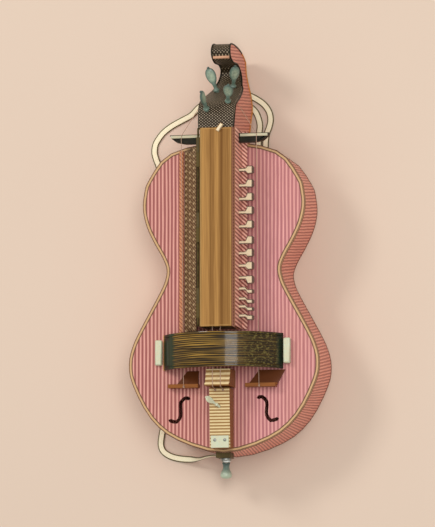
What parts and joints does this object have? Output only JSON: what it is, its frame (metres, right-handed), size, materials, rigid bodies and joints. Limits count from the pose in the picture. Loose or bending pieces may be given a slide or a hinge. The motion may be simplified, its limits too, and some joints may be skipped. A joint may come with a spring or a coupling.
{
  "type": "hurdy-gurdy",
  "caption": "Guitar-shaped string instrument with a cranked wheel under an arched cover, a lidded keybox with sliding keys, and a curved pegbox.",
  "frame": {"origin": "centre of the overall box, at the face that the instrument lies on", "axes": "+X to the instrument's right, where the key heads are, +Y from the crank toward the pegbox, +Z out of the soundboard"},
  "size_m": [0.291, 0.654, 0.1849],
  "materials": {
    "soundboard_wood": "varnished spruce",
    "body_wood": "varnished maple",
    "binding_wood": "satin",
    "lid_wood": "satin varnish",
    "dark_wood": "dark stain",
    "moulding_wood": "satin",
    "pale_wood": "polished",
    "ebonised_wood": "black stain",
    "cover_wood": "gloss varnish",
    "seat_wood": "pale, satin",
    "peg_wood": "grey green stain",
    "bridge_wood": "satin",
    "plain_wood": "bare",
    "gut": "satin",
    "steel": "satin",
    "brass": "satin",
    "strap_cloth": "woven"
  },
  "bodies": {
    "body": {"back_board": "body_wood", "rib_band": "body_wood", "soundboard": "soundboard_wood", "edge_binding": "binding_wood", "neck_block": "plain_wood", "tail_block": "plain_wood", "axle_brace": "plain_wood", "upper_brace": "plain_wood", "keybox_floor": "body_wood", "keybox_bass_wall": "plain_wood", "keybox_key_wall": "body_wood", "keybox_wheel_end": "plain_wood", "keybox_apron": "dark_wood", "apron_moulding": "moulding_wood", "lid_hinge_pin": "brass", "melody_nut": "pale_wood", "melody_bridge": "pale_wood", "nut_bar_left": "ebonised_wood", "nut_bar_right": "ebonised_wood", "drone_bridge_left": "bridge_wood", "drone_bridge_right": "bridge_wood", "tailpiece": "pale_wood", "tail_plate": "pale_wood", "pegbox": "body_wood", "pegbox_face": "dark_wood", "cover_seat_left": "seat_wood", "cover_seat_right": "seat_wood", "inner_bearing": "brass", "tail_bearing": "ebonised_wood", "melody_string_left": "gut", "melody_string_right": "gut", "drone_string_left": "gut", "drone_string_right": "gut", "strap_neck": "strap_cloth", "strap_inner": "strap_cloth", "strap_lower": "strap_cloth"},
    "lid": {"keybox_lid": "lid_wood"},
    "key_01": {"key_01": "pale_wood"},
    "key_02": {"key_02": "pale_wood"},
    "key_03": {"key_03": "pale_wood"},
    "key_04": {"key_04": "pale_wood"},
    "key_05": {"key_05": "pale_wood"},
    "key_06": {"key_06": "pale_wood"},
    "key_07": {"key_07": "pale_wood"},
    "key_08": {"key_08": "pale_wood"},
    "key_09": {"key_09": "pale_wood"},
    "key_10": {"key_10": "pale_wood"},
    "key_11": {"key_11": "pale_wood"},
    "key_12": {"key_12": "pale_wood"},
    "key_13": {"key_13": "pale_wood"},
    "wheel_drive": {"wheel": "plain_wood", "wheel_axle": "steel", "crank_arm": "steel"},
    "crank_handle": {"crank_handle": "peg_wood"},
    "peg_1": {"peg_1": "peg_wood"},
    "peg_2": {"peg_2": "peg_wood"},
    "peg_3": {"peg_3": "peg_wood"},
    "peg_4": {"peg_4": "peg_wood"},
    "tail_peg": {"tail_peg": "pale_wood"},
    "wheel_cover": {"wheel_cover": "cover_wood"}
  },
  "joints": [
    {"name": "lid_hinge", "type": "hinge", "parent": "body", "child": "lid", "pos_m": [-0.027, 0.042, 0.154], "axis": [0, -1, 0], "range_deg": [0, 105]},
    {"name": "key_01_press", "type": "slide", "parent": "body", "child": "key_01", "axis": [-1, 0, 0], "range_m": [0, 0.006]},
    {"name": "key_02_press", "type": "slide", "parent": "body", "child": "key_02", "axis": [-1, 0, 0], "range_m": [0, 0.006]},
    {"name": "key_03_press", "type": "slide", "parent": "body", "child": "key_03", "axis": [-1, 0, 0], "range_m": [0, 0.006]},
    {"name": "key_04_press", "type": "slide", "parent": "body", "child": "key_04", "axis": [-1, 0, 0], "range_m": [0, 0.006]},
    {"name": "key_05_press", "type": "slide", "parent": "body", "child": "key_05", "axis": [-1, 0, 0], "range_m": [0, 0.006]},
    {"name": "key_06_press", "type": "slide", "parent": "body", "child": "key_06", "axis": [-1, 0, 0], "range_m": [0, 0.006]},
    {"name": "key_07_press", "type": "slide", "parent": "body", "child": "key_07", "axis": [-1, 0, 0], "range_m": [0, 0.006]},
    {"name": "key_08_press", "type": "slide", "parent": "body", "child": "key_08", "axis": [-1, 0, 0], "range_m": [0, 0.006]},
    {"name": "key_09_press", "type": "slide", "parent": "body", "child": "key_09", "axis": [-1, 0, 0], "range_m": [0, 0.006]},
    {"name": "key_10_press", "type": "slide", "parent": "body", "child": "key_10", "axis": [-1, 0, 0], "range_m": [0, 0.006]},
    {"name": "key_11_press", "type": "slide", "parent": "body", "child": "key_11", "axis": [-1, 0, 0], "range_m": [0, 0.006]},
    {"name": "key_12_press", "type": "slide", "parent": "body", "child": "key_12", "axis": [-1, 0, 0], "range_m": [0, 0.006]},
    {"name": "key_13_press", "type": "slide", "parent": "body", "child": "key_13", "axis": [-1, 0, 0], "range_m": [0, 0.006]},
    {"name": "wheel_crank", "type": "hinge", "parent": "body", "child": "wheel_drive", "pos_m": [0, -0.1405, 0.082], "axis": [0, 1, 0], "continuous": true},
    {"name": "handle_spin", "type": "hinge", "parent": "wheel_drive", "child": "crank_handle", "pos_m": [-0.00707, -0.311, 0.04874], "axis": [0, 1, 0], "continuous": true},
    {"name": "peg_1_turn", "type": "hinge", "parent": "body", "child": "peg_1", "pos_m": [-0.01463, 0.21939, 0.1523], "axis": [-0.0301, 0.5521, 0.8332], "continuous": true},
    {"name": "peg_2_turn", "type": "hinge", "parent": "body", "child": "peg_2", "pos_m": [0.01689, 0.23113, 0.14612], "axis": [0.2004, 0.5011, 0.8419], "continuous": true},
    {"name": "peg_3_turn", "type": "hinge", "parent": "body", "child": "peg_3", "pos_m": [-0.01311, 0.25698, 0.08741], "axis": [-0.2494, 0.858, 0.449], "continuous": true},
    {"name": "peg_4_turn", "type": "hinge", "parent": "body", "child": "peg_4", "pos_m": [0.00836, 0.2659, 0.06908], "axis": [0.2214, 0.7045, 0.6743], "continuous": true},
    {"name": "tail_peg_turn", "type": "hinge", "parent": "body", "child": "tail_peg", "pos_m": [-0.00337, -0.22181, 0.13058], "axis": [-0.5507, 0.4206, 0.721], "continuous": true},
    {"name": "cover_lift", "type": "slide", "parent": "body", "child": "wheel_cover", "axis": [0, 0, 1], "range_m": [0, 0.08]}
  ]
}
